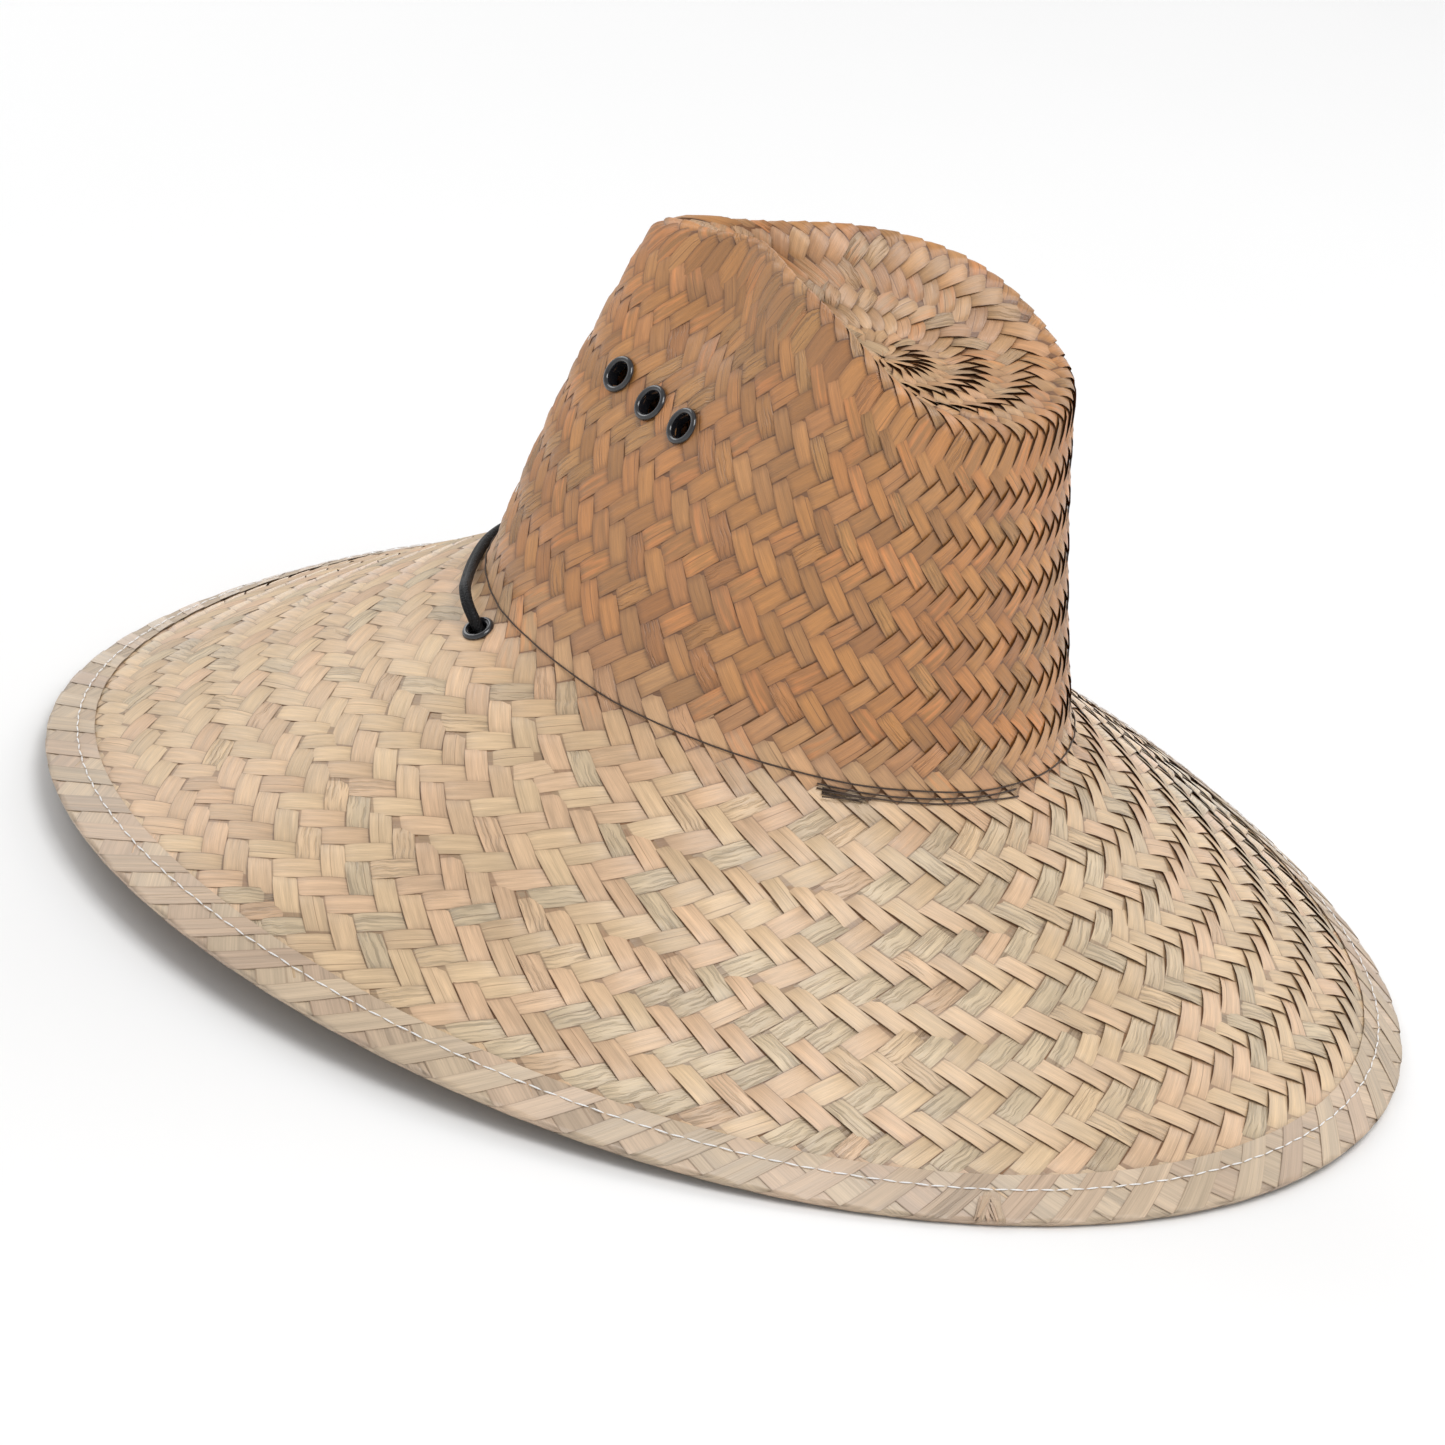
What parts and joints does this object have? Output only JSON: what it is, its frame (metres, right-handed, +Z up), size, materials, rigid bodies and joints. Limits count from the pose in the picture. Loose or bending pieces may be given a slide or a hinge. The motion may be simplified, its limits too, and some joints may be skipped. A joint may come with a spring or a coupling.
{
  "type": "straw hat",
  "caption": "Wide-brimmed woven palm-leaf hat with a pinched teardrop crown, vent eyelets, a sweatband and an adjustable chin cord.",
  "frame": {"origin": "on the surface that the hat stands on, below the middle of its bounding box", "axes": "+Z up, -Y to the front of the hat, +X to the wearer's left"},
  "size_m": [0.4284, 0.4771, 0.2247],
  "materials": {
    "crown_leaf": "woven palm leaf, warm tan, satin",
    "brim_leaf": "woven palm leaf, pale cream, satin",
    "hem_leaf": "flat palm leaf ribbon, pale, satin",
    "white_thread": "matte",
    "dark_thread": "matte",
    "sweatband_cloth": "matte cotton",
    "black_enamel": "gloss black enamel on brass",
    "washer_metal": "gloss black enamel on brass",
    "black_braid": "matte braided polyester",
    "lock_plastic": "satin moulded plastic",
    "spring_steel": "bright wire"
  },
  "bodies": {
    "hat": {"crown": "crown_leaf", "brim": "brim_leaf", "brim_hem": "hem_leaf", "hem_stitching": "white_thread", "sweatband": "sweatband_cloth", "sweatband_stitching": "dark_thread", "thread_knot": "dark_thread", "vent_eyelet_left_1": "black_enamel", "vent_eyelet_left_2": "black_enamel", "vent_eyelet_left_3": "black_enamel", "vent_eyelet_right_1": "black_enamel", "vent_eyelet_right_2": "black_enamel", "vent_eyelet_right_3": "black_enamel", "vent_washer_left_1": "washer_metal", "vent_washer_left_2": "washer_metal", "vent_washer_left_3": "washer_metal", "vent_washer_right_1": "washer_metal", "vent_washer_right_2": "washer_metal", "vent_washer_right_3": "washer_metal", "cord_eyelet_left": "black_enamel", "cord_eyelet_right": "black_enamel", "cord_washer_left": "washer_metal", "cord_washer_right": "washer_metal", "chin_cord_front": "black_braid", "chin_cord_left": "black_braid", "chin_cord_right": "black_braid", "cord_end_knot": "black_braid"},
    "cord_lock": {"cord_lock_barrel": "lock_plastic", "cord_lock_spring": "spring_steel"},
    "lock_button": {"cord_lock_button": "lock_plastic"}
  },
  "joints": [
    {"name": "cord_lock_slide", "type": "slide", "parent": "hat", "child": "cord_lock", "axis": [0, 1, 0], "range_m": [-0.004, 0.032]},
    {"name": "lock_button_press", "type": "slide", "parent": "cord_lock", "child": "lock_button", "axis": [0, 0, -1], "range_m": [0, 0.0025], "stiffness_N_per_m": 1200, "springref_m": -0.0025, "deforming": ["cord_lock_spring"]}
  ]
}
